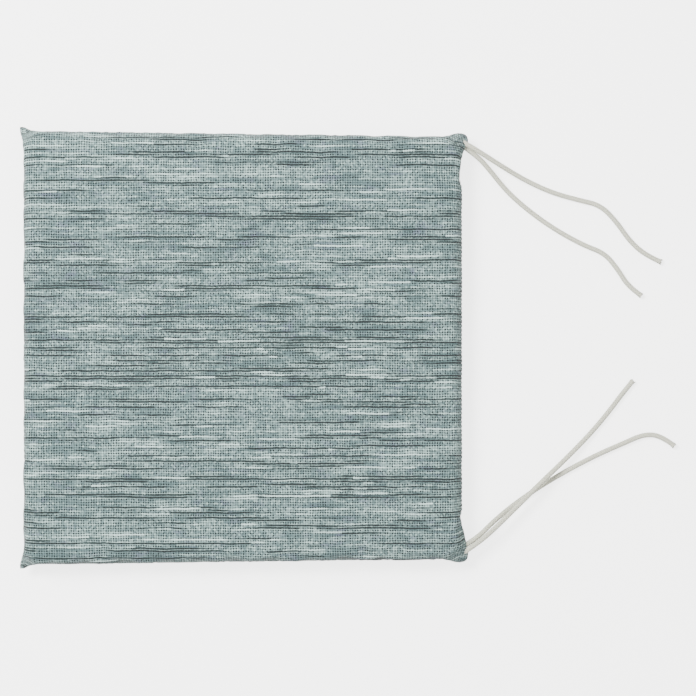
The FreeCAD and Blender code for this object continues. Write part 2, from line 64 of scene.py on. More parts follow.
class Wire:
    """A value, vector or colour that runs through a finish. Arithmetic on it adds Math nodes."""

    def __init__(self, finish, socket):
        self.finish = finish
        self.socket = socket

    def math(self, operation, *values):
        return self.finish.node("ShaderNodeMath", {"operation": operation}, dict(enumerate(values)))

    def __add__(self, other):
        return self.math("ADD", self, other)

    def __radd__(self, other):
        return self.math("ADD", other, self)

    def __sub__(self, other):
        return self.math("SUBTRACT", self, other)

    def __rsub__(self, other):
        return self.math("SUBTRACT", other, self)

    def __mul__(self, other):
        return self.math("MULTIPLY", self, other)

    def __rmul__(self, other):
        return self.math("MULTIPLY", other, self)

    def __mod__(self, other):
        return self.math("FLOORED_MODULO", self, other)

    def floor(self):
        return self.math("FLOOR", self)

    def fract(self):
        return self.math("FRACT", self)

    def size(self):
        return self.math("ABSOLUTE", self)

    def wave(self):
        return self.math("COSINE", self)

    def larger(self, other):
        return self.math("MAXIMUM", self, other)

    def stretch(self, low, high, to_low=0.0, to_high=1.0):
        """The value with low to high carried smoothly over to the new range."""
        ends = dict(enumerate((self, low, high, to_low, to_high)))
        return self.finish.node("ShaderNodeMapRange", {"interpolation_type": "SMOOTHSTEP"}, ends)


class Finish:
    """The nodes of one material, or of the room's light."""

    def __init__(self, name, kind="materials"):
        self.block = getattr(bpy.data, kind).new(name)
        self.block.use_nodes = True
        self.tree = self.block.node_tree
        self.tree.nodes.clear()

    def node(self, kind, settings=None, inputs=None, output=0):
        """One node, with its settings made and then its sockets filled, and the output that is asked for."""
        made = self.tree.nodes.new(kind)
        for name, value in (settings or {}).items():
            if name == "stops":
                for stop, (place, colour) in zip(made.color_ramp.elements, value):
                    stop.position = place
                    stop.color = colour
            else:
                setattr(made, name, value)
        for socket, value in (inputs or {}).items():
            if isinstance(value, Wire):
                self.tree.links.new(value.socket, made.inputs[socket])
            else:
                made.inputs[socket].default_value = value
        return Wire(self, made.outputs[output]) if made.outputs else None

    def blend(self, share, first, second):
        """Two colours mixed by a share from 0 to 1."""
        return self.node("ShaderNodeMix", {"data_type": "RGBA"}, {0: share, 6: first, 7: second}, output=2)

    def join(self, x, y, z=0.0):
        """A vector of three values."""
        return self.node("ShaderNodeCombineXYZ", None, {0: x, 1: y, 2: z})

    def noise(self, place, scale, detail=2.0, roughness=0.5):
        """Smooth noise from 0 to 1 at a place."""
        inputs = {"Vector": place, "Scale": scale, "Detail": detail, "Roughness": roughness}
        return self.node("ShaderNodeTexNoise", {"noise_dimensions": "3D"}, inputs)

    def chance(self, place):
        """A number from 0 to 1 that is the same all over a place's cell."""
        return self.node("ShaderNodeTexWhiteNoise", {"noise_dimensions": "3D"}, {"Vector": place})

    def flat_cut(self):
        """Where a point of a cloth or a cord was before it was sewn or laid, in metres, as two values."""
        place = self.node("ShaderNodeUVMap", {"uv_map": "cut"})
        x = self.node("ShaderNodeSeparateXYZ", None, {0: place})
        return x, self.node("ShaderNodeSeparateXYZ", None, {0: place}, output=1)

    def surface(self, colour, roughness, height=None, depth=0.0, **fixed):
        """The Principled shader and the output, with a bump of a real depth in metres."""
        inputs = {"Base Color": colour, "Roughness": roughness}
        inputs.update({name.replace("_", " "): value for name, value in fixed.items()})
        if height is not None:
            bump = {"Height": height, "Distance": depth, "Strength": 1.0}
            inputs["Normal"] = self.node("ShaderNodeBump", None, bump)
        shader = self.node("ShaderNodeBsdfPrincipled", None, inputs)
        self.node("ShaderNodeOutputMaterial", None, {"Surface": shader})
        return self.block


def lamp(name, place, aim, width, power):
    """A square soft lamp aimed at a point."""
    light = bpy.data.objects.new(name, bpy.data.lights.new(name, "AREA"))
    light.data.size = width
    light.data.energy = power
    light.location = place
    way = light.location - Vector(aim)
    light.rotation_euler = way.to_track_quat("Z", "Y").to_euler()
    bpy.context.scene.collection.objects.link(light)


lamp("key lamp", (-1.1, 0.9, 1.9), (0.05, 0.0, 0.0), 0.9, 112.0)
lamp("fill lamp", (1.2, -0.6, 2.2), (0.05, 0.0, 0.0), 1.6, 14.0)

def pale_room():
    """Even light from a pale room, dimmer below the floor."""
    finish = Finish("room", "worlds")
    way = finish.node("ShaderNodeTexCoord")
    height = finish.node("ShaderNodeSeparateXYZ", None, {0: way}, output=2)
    stops = ((0.0, (0.42, 0.42, 0.41, 1.0)), (0.45, (1.0, 1.0, 0.985, 1.0)))
    tone = finish.node("ShaderNodeValToRGB", {"stops": stops}, {0: height})
    glow = finish.node("ShaderNodeBackground", None, {"Color": tone, "Strength": 1.0})
    finish.node("ShaderNodeOutputWorld", None, {"Surface": glow})
    bpy.context.scene.world = finish.block


pale_room()


def pale_floor():
    """A matt white sweep, lit evenly from within as a light table is."""
    finish = Finish("floor_paint")
    place = finish.node("ShaderNodeTexCoord", None, None, output=3)
    tone = finish.noise(place, 1.5)
    colour = finish.blend(tone, (0.9, 0.9, 0.895, 1.0), (0.93, 0.93, 0.925, 1.0))
    floor = bpy.data.meshes.new("floor")
    reach = 6.0
    corners = [(-reach, -reach, 0.0), (reach, -reach, 0.0), (reach, reach, 0.0), (-reach, reach, 0.0)]
    floor.from_pydata(corners, [], [(0, 1, 2, 3)])
    glow = {"Emission_Color": (1.0, 1.0, 0.995, 1.0), "Emission_Strength": 3.0}
    floor.materials.append(finish.surface(colour, 0.9, **glow))
    piece = bpy.data.objects.new("floor", floor)
    piece.visible_diffuse = False
    bpy.context.scene.collection.objects.link(piece)


pale_floor()


# The tie cords: two at each rear corner, round hollow braids of sixteen cotton strands, eight each way, each
# over two and under two. One end is sewn into the ear, and the other is cut and a little frayed.

CORD = 0.0048
STRANDS_EACH_WAY = 8
LAY = 0.017
STRAND_WIDE = 0.00128
STRAND_THICK = 0.0007
STRAND_LIFT = 0.00022
STRAND_STEP = 0.0008
STRAND_SIDES = 8
# How many bands of painted shade run along each strand, at its edges.
STRAND_SHADE_BANDS = 2
FRAYED = 0.004
FRAYED_OUT = (0.0001, 0.0007)
FRAYED_ASTRAY = 0.15
FIBRES_APART = 0.3
CORE_CLEAR = 0.0004
CORE_SIDES = 12
CORE_SIDE_WIDE = 0.001
CORD_EAR_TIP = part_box("cover_top_panel")[1].x

TIES = {
    "tie_right_outer": {
        "length": 0.2225,
        "points": [
            (0.1993, 0.1899, 0.0175), (0.2156, 0.1805, 0.0166), (0.2339, 0.1693, 0.0110),
            (0.2575, 0.1556, 0.0045), (0.2836, 0.1436, 0.00245), (0.3086, 0.1367, 0.00245),
            (0.3290, 0.1320, 0.00245), (0.3438, 0.1167, 0.00245), (0.3558, 0.0991, 0.00245),
            (0.3707, 0.0857, 0.00245), (0.3855, 0.0792, 0.00245),
        ],
    },
    "tie_right_inner": {
        "length": 0.2217,
        "points": [
            (0.1992, 0.1869, 0.0132), (0.2142, 0.1770, 0.0125), (0.2266, 0.1635, 0.0080),
            (0.2427, 0.1440, 0.0034), (0.2641, 0.1255, 0.00245), (0.2882, 0.1086, 0.00245),
            (0.3132, 0.0950, 0.00245), (0.3327, 0.0876, 0.00245), (0.3447, 0.0732, 0.00245),
            (0.3549, 0.0565, 0.00245), (0.3670, 0.0482, 0.00245),
        ],
    },
    "tie_left_outer": {
        "length": 0.2279,
        "points": [
            (0.1992, -0.1897, 0.0168), (0.2160, -0.1789, 0.0163), (0.2318, -0.1649, 0.0146),
            (0.2493, -0.1478, 0.0130), (0.2733, -0.1240, 0.0129), (0.2980, -0.1012, 0.0072),
            (0.3206, -0.0786, 0.0026), (0.3373, -0.0586, 0.00245), (0.3494, -0.0422, 0.00245),
            (0.3595, -0.0301, 0.00245),
        ],
    },
    "tie_left_inner": {
        "length": 0.2327,
        "points": [
            (0.1990, -0.1843, 0.0137), (0.2146, -0.1750, 0.0130), (0.2294, -0.1605, 0.0082),
            (0.2483, -0.1454, 0.0030), (0.2706, -0.1299, 0.00245), (0.2975, -0.1138, 0.00245),
            (0.3253, -0.0993, 0.00245), (0.3512, -0.0880, 0.00245), (0.3697, -0.0799, 0.00245),
            (0.3855, -0.0815, 0.00245), (0.3975, -0.0908, 0.00245),
        ],
    },
}


def smooth_route(points):
    """The smooth line that a cord's listed points make."""
    curve = bpy.data.curves.new("route", "CURVE")
    curve.dimensions = "3D"
    spline = curve.splines.new("NURBS")
    spline.points.add(len(points) - 1)
    for knot, point in zip(spline.points, points):
        knot.co = (*point, 1.0)
    spline.order_u = 3
    spline.use_endpoint_u = True
    spline.resolution_u = 24
    holder = bpy.data.objects.new("route", curve)
    line = bpy.data.meshes.new_from_object(holder)
    route = np.array([v.co for v in line.vertices])
    bpy.data.objects.remove(holder)
    bpy.data.curves.remove(curve)
    bpy.data.meshes.remove(line)
    return route


def evenly(route, step):
    """The route with its points a step apart, and how far along it each is."""
    runs = np.linalg.norm(np.diff(route, axis=0), axis=1)
    along = np.concatenate([[0.0], np.cumsum(runs)])
    spots = np.linspace(0.0, along[-1], int(along[-1] / step) + 1)
    return np.stack([np.interp(spots, along, route[:, i]) for i in range(3)], axis=1), spots


def frames_along(line):
    """A steady pair of cross directions at each point of a line."""
    way = np.gradient(line, axis=0)
    way /= np.linalg.norm(way, axis=1)[:, None]
    side = np.cross(way, (0.0, 0.0, 1.0))
    side /= np.linalg.norm(side, axis=1)[:, None]
    return way, side, np.cross(side, way)


def add_mesh(name, points, faces, finish, cut):
    """A new object with a mesh, its finish, and the flat-cut place of each point."""
    mesh = bpy.data.meshes.new(name)
    mesh.from_pydata(np.asarray(points).tolist(), [], faces)
    corners = np.zeros(len(mesh.loops), np.int32)
    mesh.loops.foreach_get("vertex_index", corners)
    mesh.uv_layers.new(name="cut").uv.foreach_set("vector", np.asarray(cut)[corners].ravel())
    mesh.materials.append(finish)
    mesh.polygons.foreach_set("use_smooth", [True] * len(mesh.polygons))
    made = bpy.data.objects.new(name, mesh)
    bpy.context.scene.collection.objects.link(made)
    return made


def skin_of(rings, sides):
    """Faces over rings of points, one ring after another, with a cap at each end."""
    ring, side = np.meshgrid(np.arange(rings - 1), np.arange(sides), indexing="ij")
    start = ring * sides
    after = (side + 1) % sides
    quads = np.stack([start + side, start + after, start + sides + after, start + sides + side], -1)
    faces = quads.reshape(-1, 4).tolist()
    last = (rings - 1) * sides
    faces.append(list(range(sides))[::-1])
    faces.append(list(range(last, last + sides)))
    return faces


def swept(line, way, out, wide, thick, sides):
    """A flat strand round a line: its points, one ring for each point of the line."""
    across = np.cross(way, out)
    angles = np.arange(sides) * 2 * math.pi / sides
    ring = across[:, None] * (np.cos(angles) * wide / 2)[None, :, None]
    ring = ring + out[:, None] * (np.sin(angles) * thick / 2)[None, :, None]
    return (line[:, None] + ring).reshape(-1, 3)


def tie_finish():
    """Undyed cotton braid with fine fibres, and painted shade on strand edges where strands dip under one
    another.
    """
    finish = Finish("tie_braid")
    along, across = finish.flat_cut()
    fibres = finish.noise(finish.join(along * 900.0, across * 9000.0), 1.0, 3.0, 0.6)
    shade = finish.noise(finish.join(along * 120.0, across * 300.0), 1.0, 2.0)
    strand_edge_shade = ((across * (STRAND_SHADE_BANDS / STRAND_WIDE)).fract() - 0.5).size().stretch(0.25, 0.5)
    colour = finish.blend(fibres, (0.54, 0.54, 0.425, 1.0), (0.82, 0.82, 0.70, 1.0))
    colour = finish.blend(shade.stretch(0.35, 0.7), colour, (0.66, 0.66, 0.53, 1.0))
    # Painted shade: each strand's edges are darkened towards near black, for the shade where strands dip under
    # one another.
    colour = finish.blend(strand_edge_shade * 0.9, colour, (0.13, 0.13, 0.095, 1.0))
    return finish.surface(colour, 0.85, fibres, 0.00012, Sheen_Weight=0.15, Sheen_Roughness=0.5)


tie_braid = tie_finish()


def tie_cord(name, points, seed):
    """One braided cord along its route, with its strands loosened at the cut end."""
    dice = np.random.default_rng(seed)
    line, along = evenly(smooth_route(points), STRAND_STEP)
    way, side, up = frames_along(line)
    end = along[-1]
    fray = np.clip((along - (end - FRAYED)) / FRAYED, 0.0, 1.0) ** 2
    middle = (CORD - STRAND_THICK) / 2 - STRAND_LIFT
    verts, faces, cut = [], [], []
    crossing = 2 * STRANDS_EACH_WAY * along / LAY
    for turn in (1, -1):
        for k in range(STRANDS_EACH_WAY):
            phase = crossing + 2 * k if turn > 0 else 2 * k - crossing
            lift = turn * STRAND_LIFT * np.cos((phase - 0.5) * math.pi / 2)
            loosened = fray * dice.uniform(*FRAYED_OUT)
            astray = fray * dice.uniform(-FRAYED_ASTRAY, FRAYED_ASTRAY)
            angle = 2 * math.pi * (k / STRANDS_EACH_WAY + turn * along / LAY) + astray
            out = side * np.cos(angle)[:, None] + up * np.sin(angle)[:, None]
            strand = line + out * (middle + lift + loosened)[:, None]
            strand = strand[: len(strand) - int(dice.integers(0, 2))]
            out = out[: len(strand)]
            run = np.gradient(strand, axis=0)
            run /= np.linalg.norm(run, axis=1)[:, None]
            out = out - run * (out * run).sum(1)[:, None]
            out /= np.linalg.norm(out, axis=1)[:, None]
            ring = swept(strand, run, out, STRAND_WIDE, STRAND_THICK, STRAND_SIDES)
            ring[:, 2] = np.maximum(ring[:, 2], 0.0)
            base = sum(len(v) for v in verts)
            faces += [[base + i for i in face] for face in skin_of(len(strand), STRAND_SIDES)]
            verts.append(ring)
            v = np.tile(np.arange(STRAND_SIDES) * STRAND_WIDE / STRAND_SIDES, len(strand))
            start = FIBRES_APART * (k + STRANDS_EACH_WAY * (turn > 0))
            u = np.repeat(along[: len(strand)], STRAND_SIDES) + start
            cut.append(np.stack([u, v], 1))
    core_wide = 2 * middle - CORE_CLEAR
    core = swept(line[:-2], way[:-2], up[:-2], core_wide, core_wide, CORE_SIDES)
    base = sum(len(v) for v in verts)
    faces += [[base + i for i in face] for face in skin_of(len(line) - 2, CORE_SIDES)]
    verts.append(core)
    around = np.tile(np.arange(CORE_SIDES) * CORE_SIDE_WIDE, len(line) - 2)
    cut.append(np.stack([np.repeat(along[:-2], CORE_SIDES), around], 1))
    made = add_mesh(name + "_braid", np.concatenate(verts), faces, tie_braid, np.concatenate(cut))
    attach(made, "pad")
    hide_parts(name)
    sewn, free = points[:2]
    reach, run = CORD_EAR_TIP - sewn[0], free[0] - sewn[0]
    leaves = [a + (b - a) * reach / run for a, b in zip(sewn, free)]


for seed, (name, tie) in enumerate(TIES.items()):
    tie_cord(name, tie["points"], seed)


# The cover: two square panels of coarse woven cloth, cut flat and sewn together round the edge at mid-height.
# The cloth rolls over the foam's edges, and its flat corners stick out as ears, the rear ones round the ties.

CLOTH = 0.0009
EDGE = 0.009
HALF_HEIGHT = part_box("cover_top_panel")[0].z
EDGE_ROWS = 14
TOP_PITCH = 0.0031
CROWN = 0.0019
CORNER_ROUNDING = 0.013

FRONT_EAR = {"reach": (0.0048, 0.0048), "blunt": 0.004, "fall": (0.026, 0.016), "thinness": 4.5}
REAR_EAR = {"reach": (0.0086, 0.0045), "blunt": 0.010, "fall": (0.027, 0.016), "thinness": 2.6}
LEFT_EAR_FALL = 0.052

EAR_CORNER = 5
EAR_DRAG = 0.0038
DRAG_DEEP = 0.011
DRAG_WIDE = 0.045

ear_low, ear_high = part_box("cover_top_panel")
REAR_WALL = ear_high.x - REAR_EAR["reach"][0]
FRONT_WALL = ear_low.x + FRONT_EAR["reach"][0]
HALF_FRONT = ear_high.y - FRONT_EAR["reach"][1]
REAR_NARROWER = 0.0055
HALF_REAR = HALF_FRONT - REAR_NARROWER
HALF_OPENING = 0.150
SLOT_FADES = (0.004, 0.003)

CORNER_LOSS = 0.293
WAVE_HEIGHT = 0.00022
WAVE_LENGTH = 0.09
PUCKER_HEIGHT = 0.0002
PUCKER_LENGTH = 0.022
FOLDS = 9
FOLD_HEIGHT = 0.0007
FOLD_REACH = 0.03

FREE_BAND = 0.045
HELD_SEAM = 0.85
HELD_EAR = (0.012, 0.024)
SIM_STRIDE = 2
SIM_FRAMES = 20
SWELL_LIMIT = 0.0022
SWELL_ON_TOP = 0.3
EASE_IN_CLOTH = -0.01
OFF_FLOOR = 0.00002

ROLLED_EDGE = [
    (0.0, 0.0), (0.0036, 0.0003), (0.0065, 0.0018), (0.0084, 0.0046), (0.0093, 0.0083),
    (0.0096, 0.0115), (0.0095, 0.0137), (0.0088, 0.0150),
]
HEMMED_EDGE = [
    (0.0, 0.0), (0.0036, 0.0003), (0.0066, 0.0018), (0.0090, 0.0045), (0.0107, 0.0075),
    (0.0111, 0.0093), (0.0102, 0.0107), (0.0081, 0.0110), (0.0060, 0.0109),
]


def smooth_through(points, count):
    """Points evenly along a smooth curve through given ones, and the curve's length."""
    knots = np.array([points[0], *points, points[-1]], float)
    bits = []
    for a, b, c, d in zip(knots, knots[1:], knots[2:], knots[3:]):
        t = np.linspace(0.0, 1.0, 24, endpoint=False)[:, None]
        bits.append(0.5 * (2 * b + (c - a) * t + (2 * a - 5 * b + 4 * c - d) * t**2
                           + (3 * b - a - 3 * c + d) * t**3))
    curve = np.concatenate([*bits, knots[-1:]])
    runs = np.linalg.norm(np.diff(curve, axis=0), axis=1)
    along = np.concatenate([[0.0], np.cumsum(runs)])
    spots = np.linspace(0.0, along[-1], count)
    return np.stack([np.interp(spots, along, curve[:, i]) for i in range(2)], axis=1), along[-1]


def ease(value, low, high):
    """0 below low, 1 above high, and smooth between."""
    t = np.clip((value - low) / (high - low), 0.0, 1.0)
    return t * t * (3 - 2 * t)


def ripple(x, y, seed, length):
    """Gentle uneven waves from about -1 to 1, of about that length."""
    dice = np.random.default_rng(seed)
    total = np.zeros_like(x)
    for _ in range(7):
        turn, phase = dice.uniform(0, 2 * math.pi, 2)
        pace = 2 * math.pi / (length * dice.uniform(0.7, 1.6))
        total += np.sin(pace * (x * math.cos(turn) + y * math.sin(turn)) + phase)
    return total / 3.5


def panel_shape(up):
    """One panel's points in place, its faces, each point's place in the flat cut, and how firmly it is held."""
    rolled, long = smooth_through(ROLLED_EDGE, EDGE_ROWS + 1)
    hemmed, _ = smooth_through(HEMMED_EDGE, EDGE_ROWS + 1)
    past = np.arange(1, EDGE_ROWS + 1)
    inner_x = np.linspace(FRONT_WALL + EDGE, REAR_WALL - EDGE, int((REAR_WALL - FRONT_WALL) / TOP_PITCH))
    inner_t = np.linspace(-1.0, 1.0, int(2 * HALF_FRONT / TOP_PITCH))
    px = np.concatenate([np.full(EDGE_ROWS, inner_x[0]), inner_x, np.full(EDGE_ROWS, inner_x[-1])])
    ax = np.concatenate([-past[::-1], np.zeros(len(inner_x)), past])
    pt = np.concatenate([np.full(EDGE_ROWS, -1.0), inner_t, np.full(EDGE_ROWS, 1.0)])
    ay = np.concatenate([-past[::-1], np.zeros(len(inner_t)), past])
    px, pt = np.meshgrid(px, pt, indexing="ij")
    ax, ay = np.meshgrid(ax, ay, indexing="ij")
    share = (px - FRONT_WALL) / (REAR_WALL - FRONT_WALL)
    half = HALF_FRONT + (HALF_REAR - HALF_FRONT) * share - EDGE
    py = pt * half
    level = np.maximum(np.abs(ax), np.abs(ay))
    rear = px > (FRONT_WALL + REAR_WALL) / 2
    row = long / EDGE_ROWS
    from_corner_x = (level - np.abs(ay)) * row + half - np.abs(py)
    end = np.where(rear, inner_x[-1] - px, px - inner_x[0])
    from_corner_y = (level - np.abs(ax)) * row + end
    w = level / EDGE_ROWS
    on_x = np.abs(ax) >= np.abs(ay)
    steps = np.arange(EDGE_ROWS + 1) / EDGE_ROWS
    zipped = ease(-np.abs(py), -HALF_OPENING - SLOT_FADES[0], -HALF_OPENING + SLOT_FADES[1]) * (on_x & (ax > 0))
    out = np.interp(w, steps, rolled[:, 0]) * (1 - zipped) + np.interp(w, steps, hemmed[:, 0]) * zipped
    drop = np.interp(w, steps, rolled[:, 1]) * (1 - zipped) + np.interp(w, steps, hemmed[:, 1]) * zipped

    def ear_value(name, axis=None):
        front, back = FRONT_EAR[name], REAR_EAR[name]
        if axis is not None:
            front, back = front[axis], back[axis]
        return np.where(rear, back, front)

    outline = ear_value("thinness")
    swell = w**outline

    def outward(distance, axis):
        """How far out a wall stands at a distance from its corner."""
        blunt, fall = ear_value("blunt"), ear_value("fall", axis)
        fall = np.where(rear & (py < 0) & (axis == 0), LEFT_EAR_FALL, fall)
        ear = 1 - ease(distance, blunt, blunt + fall)
        rounding = CORNER_LOSS * CORNER_ROUNDING * (1 - ease(distance, 0.0, 1.25 * CORNER_ROUNDING))
        return out - rounding * (1 - swell) * ease(w, 0.0, 0.45) + ear_value("reach", axis) * ear * swell

    wall_x, wall_y = outward(from_corner_x, 0), outward(from_corner_y, 1)
    corner_x, corner_y = outward(0 * px, 0), outward(0 * px, 1)
    safe = np.maximum(level, 1)
    ring = np.maximum(np.abs(ax / safe) ** EAR_CORNER + np.abs(ay / safe) ** EAR_CORNER, 1)
    blunted = ring ** (-1 / EAR_CORNER)
    blunted = 1 + (blunted - 1) * ease(swell, 0.3, 1.0) * rear
    out_x = np.where(on_x, wall_x, corner_x * np.abs(ax) / safe) * np.where(ay == 0, 1, blunted)
    out_y = np.where(on_x, corner_y * np.abs(ay) / safe, wall_y) * np.where(ax == 0, 1, blunted)
    x = px + np.sign(ax) * out_x * (level > 0)
    y = py + np.sign(ay) * out_y * (level > 0)
    crown = (1 - np.abs(2 * share - 1) ** 3) * (1 - np.abs(pt) ** 3) * (1 - w) ** 2
    z = HALF_HEIGHT - drop
    if up:
        z = z + CROWN * crown + WAVE_HEIGHT * ripple(x, y, 5, WAVE_LENGTH) * ease(crown, 0.0, 0.3)
    nearest = np.hypot(from_corner_x, from_corner_y)
    slant = np.arctan2(np.abs(ay) * row + half - np.abs(py) + 1e-6, np.abs(ax) * row + end + 1e-6)
    folds = np.exp(-((nearest / FOLD_REACH) ** 2)) * np.sin(slant * FOLDS)
    puckers = ripple(x, y, 11, PUCKER_LENGTH) * w * (1 - w) * 4
    bulge = PUCKER_HEIGHT * puckers
    x = x + np.sign(ax) * bulge * (np.abs(ax) > 0)
    y = y + np.sign(ay) * bulge * (np.abs(ay) > 0)
    z = HALF_HEIGHT + (z if up else -z)
    z = z + (FOLD_HEIGHT if up else 0.0) * folds * ease(w, 0.0, 0.4) * (1 - w)
    to_wall = end + (EDGE_ROWS - np.abs(ax)) * row
    drag = EAR_DRAG * np.exp(-((to_wall / DRAG_DEEP) ** 2) - ((half - np.abs(py)) / DRAG_WIDE) ** 2)
    cut = np.stack([px + ax * row, py + ay * row + np.sign(py) * drag], -1)
    points = np.stack([x, y, z], -1)
    across, deep = px.shape
    i, j = np.meshgrid(np.arange(across - 1), np.arange(deep - 1), indexing="ij")
    a = i * deep + j
    faces = np.stack([a, a + deep, a + deep + 1, a + 1], -1).reshape(-1, 4)
    if not up:
        faces = faces[:, ::-1]
    flat = ease(FREE_BAND - EDGE - np.minimum(half - np.abs(py), end) * (level == 0), -0.02, 0.0)
    held = np.maximum(1 - flat, ease(zipped * w, 0.0, 0.3))
    held = np.maximum(held, HELD_SEAM * ease(w, 0.6, 1.0))
    held = np.maximum(held, 1 - ease(nearest, *HELD_EAR))
    return points, faces.tolist(), cut.reshape(-1, 2), held


def swollen(top, bottom, held):
    """Both panels' points after the cloth, cut a little larger than the foam, has settled over it."""
    rows = np.unique(np.r_[np.arange(0, top.shape[0], SIM_STRIDE), top.shape[0] - 1])
    cols = np.unique(np.r_[np.arange(0, top.shape[1], SIM_STRIDE), top.shape[1] - 1])
    grid = np.ix_(rows, cols)
    count = len(rows) * len(cols)
    above = np.arange(count).reshape(len(rows), len(cols))
    sewn = np.abs(top[grid][..., 2] - bottom[grid][..., 2]) < 1e-5
    below = np.where(sewn, above, above + count)
    faces = []
    for sheet, order in ((above, 1), (below, -1)):
        corners = [sheet[:-1, :-1], sheet[1:, :-1], sheet[1:, 1:], sheet[:-1, 1:]][::order]
        faces += np.stack(corners, -1).reshape(-1, 4).tolist()
    points = np.concatenate([top[grid].reshape(-1, 3), bottom[grid].reshape(-1, 3)])
    used, renumbered = np.unique(np.array(faces), return_inverse=True)
    mesh = bpy.data.meshes.new("cloth to settle")
    mesh.from_pydata(points[used].tolist(), [], renumbered.reshape(-1, 4).tolist())
    cloth = bpy.data.objects.new("cloth to settle", mesh)
    bpy.context.scene.collection.objects.link(cloth)
    group = cloth.vertex_groups.new(name="held")
    for i, weight in enumerate(np.tile(held[grid].ravel(), 2)[used]):
        group.add([i], float(weight), "REPLACE")
    settle = cloth.modifiers.new("settle", "CLOTH")
    settle.settings.quality = 6
    settle.settings.mass = 0.25
    settle.settings.tension_stiffness = 20.0
    settle.settings.compression_stiffness = 20.0
    settle.settings.shear_stiffness = 8.0
    settle.settings.bending_stiffness = 0.4
    settle.settings.use_pressure = True
    settle.settings.uniform_pressure_force = 2.5
    settle.settings.shrink_min = EASE_IN_CLOTH
    settle.settings.vertex_group_mass = "held"
    settle.settings.effector_weights.gravity = 0.0
    settle.point_cache.frame_end = SIM_FRAMES
    for step in range(1, SIM_FRAMES + 1):
        bpy.context.scene.frame_set(step)
    settled = cloth.evaluated_get(bpy.context.evaluated_depsgraph_get()).to_mesh()
    moved = np.zeros((2 * count, 3))
    moved[used] = np.array([v.co for v in settled.vertices]) - points[used]
    bpy.data.objects.remove(cloth)
    bpy.context.scene.frame_set(1)
    size = np.linalg.norm(moved, axis=1)[:, None] + 1e-12
    inside = np.minimum.reduce([*np.indices(top.shape[:2]), *np.indices(top.shape[:2])[:, ::-1, ::-1]])[grid]
    limit = SWELL_LIMIT * (1 - (1 - SWELL_ON_TOP) * ease(inside, EDGE_ROWS - 3, EDGE_ROWS + 5))
    limit = np.tile(limit.ravel(), 2)[:, None]
    moved *= limit * np.tanh(size / limit) / size
    out = []
    for sheet, start in ((above, top), (below, bottom)):
        shift = moved[sheet]
        shift = np.stack([[np.interp(np.arange(start.shape[1]), cols, line) for line in shift[..., k]]
                          for k in range(3)], -1)
        shift = np.stack([[np.interp(np.arange(start.shape[0]), rows, line) for line in shift[..., k].T]
                          for k in range(3)], -1)
        out.append(start + shift.transpose(1, 0, 2))
    return out


WARP_PITCH = 0.00227
WEFT_PITCH = 0.00235
YARN_PALE = (0.74, 1.0, 0.955, 1.0)
YARN_MINT = (0.64, 0.92, 0.87, 1.0)
YARN_SLATE = (0.14, 0.255, 0.265, 1.0)
YARN_MAUVE = (0.20, 0.25, 0.37, 1.0)
YARN_INK = (0.045, 0.075, 0.078, 1.0)
# Painted shade: the near-black colour put in the gaps between yarns.
SHADE_BETWEEN_YARNS = (0.004, 0.009, 0.009, 1.0)


